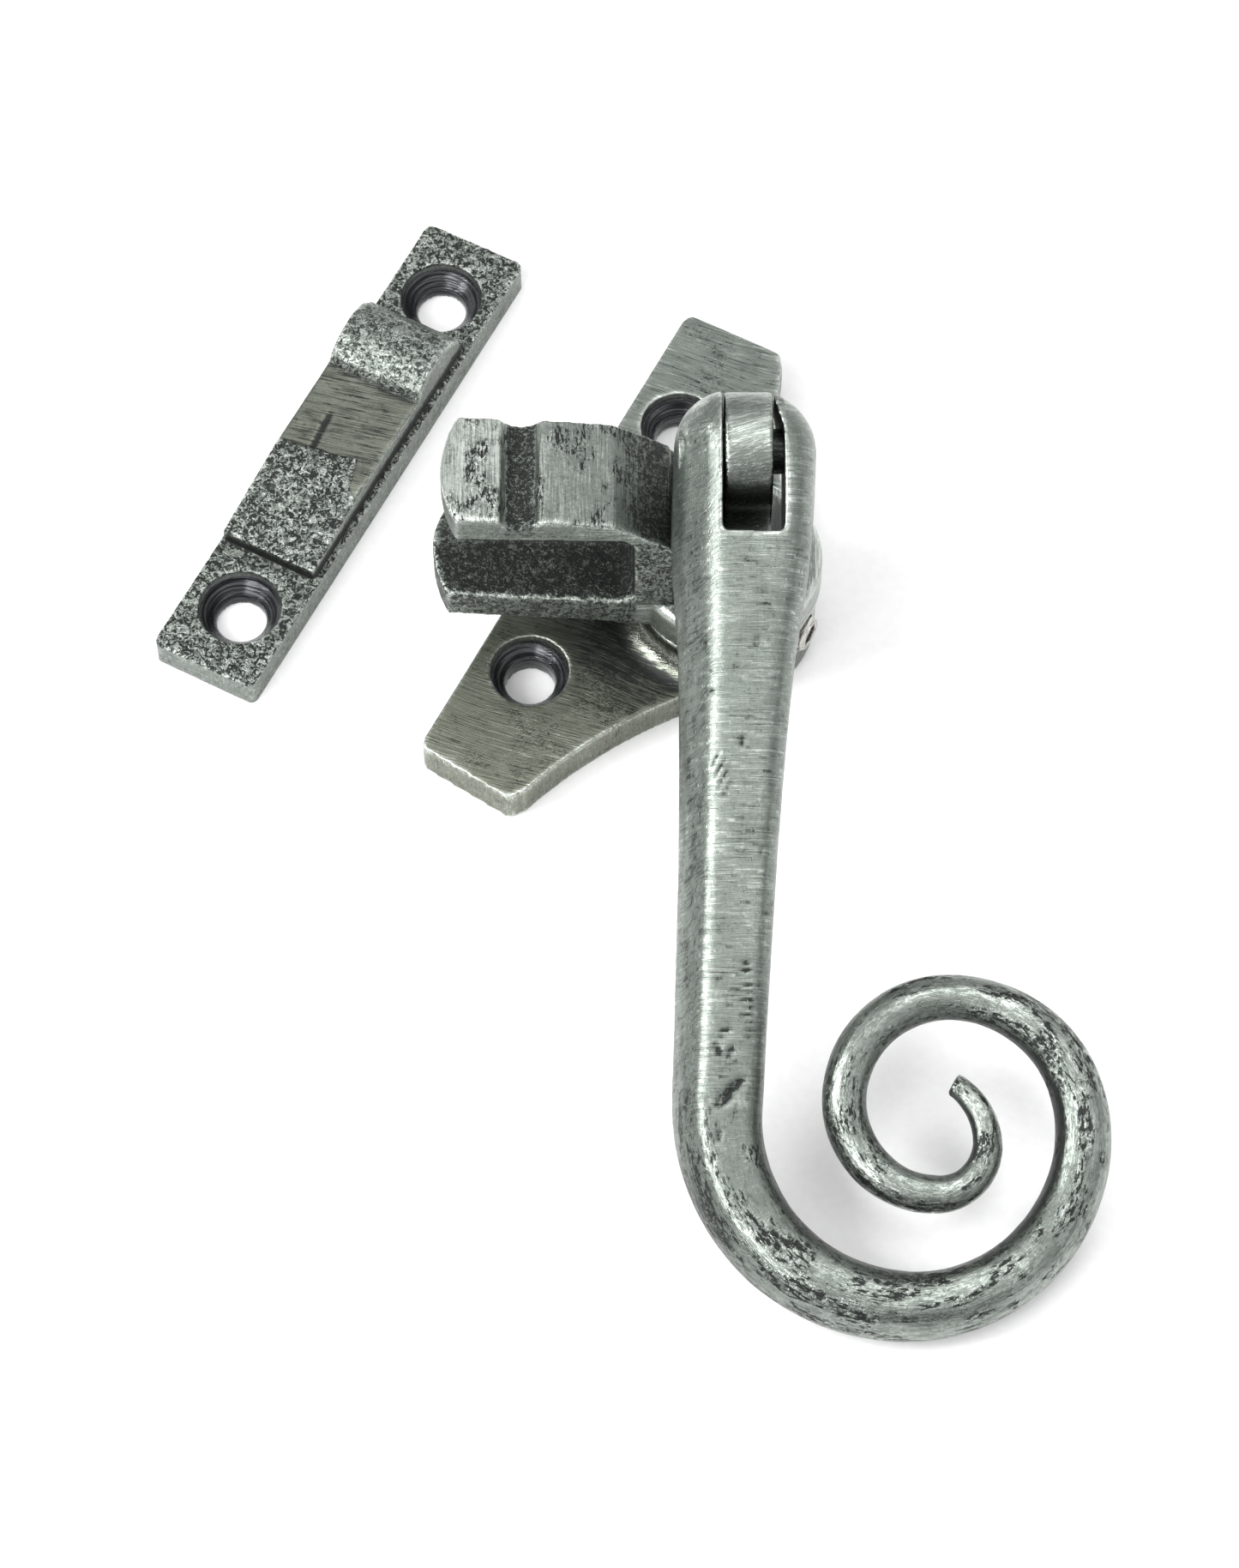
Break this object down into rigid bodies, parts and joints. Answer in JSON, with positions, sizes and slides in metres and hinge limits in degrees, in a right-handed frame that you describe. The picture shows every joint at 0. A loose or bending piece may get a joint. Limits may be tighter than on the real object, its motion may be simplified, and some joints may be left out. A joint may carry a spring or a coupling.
{
  "type": "casement window fastener",
  "caption": "Casement window fastener: screw plate with boss, swivelling forked night-vent nose, folding scroll handle, locking grub screw and separate hook plate.",
  "frame": {"origin": "midway between the base plate's two screw holes, on the base plate's underside", "axes": "+Z stands off the window face, +Y runs along both plates towards the hook plate's stop, +X points away from the hook plate"},
  "size_m": [0.1274, 0.109, 0.0435],
  "materials": {
    "brushed_pewter": "patinated steel, cross-brushed, dark in its pits and bright on its edges",
    "cast_pewter": "patinated casting, rough dark skin with worn bright high spots",
    "bright_steel": "plain machined steel"
  },
  "bodies": {
    "base": {"base_plate": "brushed_pewter", "bearing_washer": "bright_steel"},
    "hook_plate": {"hook_plate": "cast_pewter"},
    "grub_screw": {"grub_screw": "bright_steel"},
    "nose": {"nose": "cast_pewter", "spindle": "bright_steel", "spring_washer": "bright_steel", "retaining_washer": "bright_steel"},
    "handle": {"handle": "brushed_pewter", "knuckle_pin": "brushed_pewter"}
  },
  "joints": [
    {"name": "swivel", "type": "hinge", "parent": "base", "child": "nose", "pos_m": [0.0157, 0, 0.01], "axis": [0, 0, 1], "range_deg": [-27.65, 62.35]},
    {"name": "handle_fold", "type": "hinge", "parent": "nose", "child": "handle", "pos_m": [0.0157, 0, 0.037], "axis": [-0.8858, -0.4641, 0], "range_deg": [0, 100]},
    {"name": "grub_travel", "type": "slide", "parent": "base", "child": "grub_screw", "axis": [1, 0, 0], "range_m": [-0.00025, 0.001]},
    {"name": "hook_approach", "type": "slide", "parent": "base", "child": "hook_plate", "axis": [1, 0, 0], "range_m": [0, 0.0196]}
  ]
}
